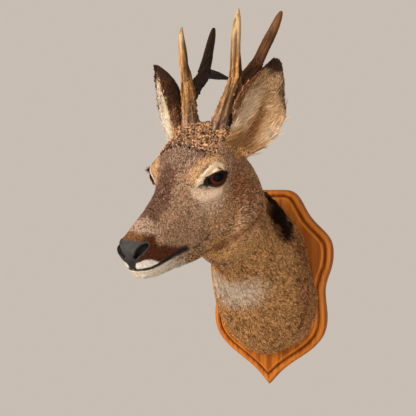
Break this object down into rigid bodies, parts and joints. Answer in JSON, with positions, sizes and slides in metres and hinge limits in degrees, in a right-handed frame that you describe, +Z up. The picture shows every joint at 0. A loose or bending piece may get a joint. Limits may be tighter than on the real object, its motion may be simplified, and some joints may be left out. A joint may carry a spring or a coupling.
{
  "type": "roe deer shoulder mount",
  "caption": "Roe deer buck head, neck and shoulders with forked antlers, turned slightly aside on a shaped wooden wall shield.",
  "frame": {"origin": "centre of the shield's flat back face, where it meets the wall", "axes": "+Y into the wall, +Z up, +X to the right along the wall as a viewer faces the mount"},
  "size_m": [0.19, 0.3977, 0.5034],
  "materials": {
    "oak_board": "satin varnish over orange-brown stain",
    "coat": "short grey-brown winter hair",
    "nose_leather": "matte pebbled nose leather",
    "glass_eye": "gloss, dark brown",
    "antler": "grooved and pearled antler, polished at the tips"
  },
  "bodies": {
    "root": {"board": "oak_board", "head": "coat", "lower_jaw": "coat", "nose_pad": "nose_leather", "neck": "coat", "shoulders": "coat", "ear_left": "coat", "ear_right": "coat", "eye_left": "glass_eye", "eye_right": "glass_eye", "antler_left_beam": "antler", "antler_left_front_tine": "antler", "antler_left_rear_branch": "antler", "antler_left_upper_tine": "antler", "antler_left_back_tine": "antler", "antler_right_beam": "antler", "antler_right_front_tine": "antler", "antler_right_rear_branch": "antler", "antler_right_upper_tine": "antler", "antler_right_back_tine": "antler"}
  },
  "joints": []
}
